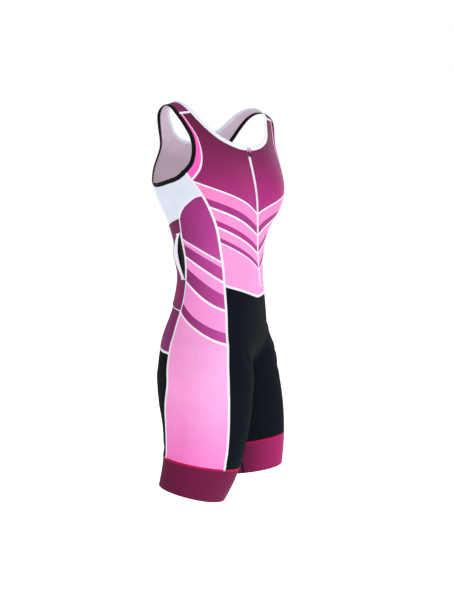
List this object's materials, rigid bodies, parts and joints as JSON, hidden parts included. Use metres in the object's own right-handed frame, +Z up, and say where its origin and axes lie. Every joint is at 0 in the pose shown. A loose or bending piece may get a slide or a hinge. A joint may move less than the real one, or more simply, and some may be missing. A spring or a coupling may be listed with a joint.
{
  "type": "triathlon suit",
  "caption": "Sleeveless one-piece suit for swimming, cycling and running, with a front zip, rear pocket, fitted shorts and elastic leg bands.",
  "frame": {"origin": "between the shoulders, level with the tops of the shoulder straps, where the wearer's shoulders hold the suit up", "axes": "+Z up, -Y the way the chest faces, +X to the wearer's left. The hips are turned about 31 degrees from the shoulders, as in the pictured stance."},
  "size_m": [0.3495, 0.2859, 0.8489],
  "materials": {
    "plum_print": "printed stretch knit with a soft sheen",
    "side_print": "printed stretch knit with a soft sheen",
    "white_cloth": "light airy knit, matt",
    "maroon_cloth": "stretch knit with a soft sheen",
    "plum_cloth": "stretch knit with a soft sheen",
    "black_cloth": "dense stretch knit, nearly matt",
    "band_elastic": "wide elastic knit band, matt",
    "white_binding": "folded elastic binding, matt",
    "black_binding": "folded elastic binding, matt",
    "zip_white": "woven tape with a nylon coil",
    "slider_black": "black enamel",
    "pull_pink": "soft moulded plastic"
  },
  "bodies": {
    "suit": {"front_right": "plum_print", "front_left": "plum_print", "upper_back": "plum_print", "side_panel_right": "side_print", "side_panel_left": "side_print", "underarm_right": "white_cloth", "underarm_left": "white_cloth", "back_waist": "maroon_cloth", "rear_pocket": "maroon_cloth", "pocket_binding_right": "white_binding", "pocket_binding_left": "white_binding", "lower_back": "plum_cloth", "shorts_front_right": "black_cloth", "shorts_front_left": "black_cloth", "seat_right": "black_cloth", "seat_left": "black_cloth", "leg_band_right": "band_elastic", "leg_band_left": "band_elastic", "neck_binding": "white_binding", "armhole_binding_right": "black_binding", "armhole_binding_left": "black_binding", "zip": "zip_white", "zip_slider": "slider_black"},
    "pull_tab": {"zip_pull": "pull_pink"}
  },
  "joints": [
    {"name": "pull_tab_hinge", "type": "hinge", "parent": "suit", "child": "pull_tab", "pos_m": [0.00032, -0.09893, -0.10427], "axis": [1, 0, 0], "range_deg": [0, 170]}
  ]
}
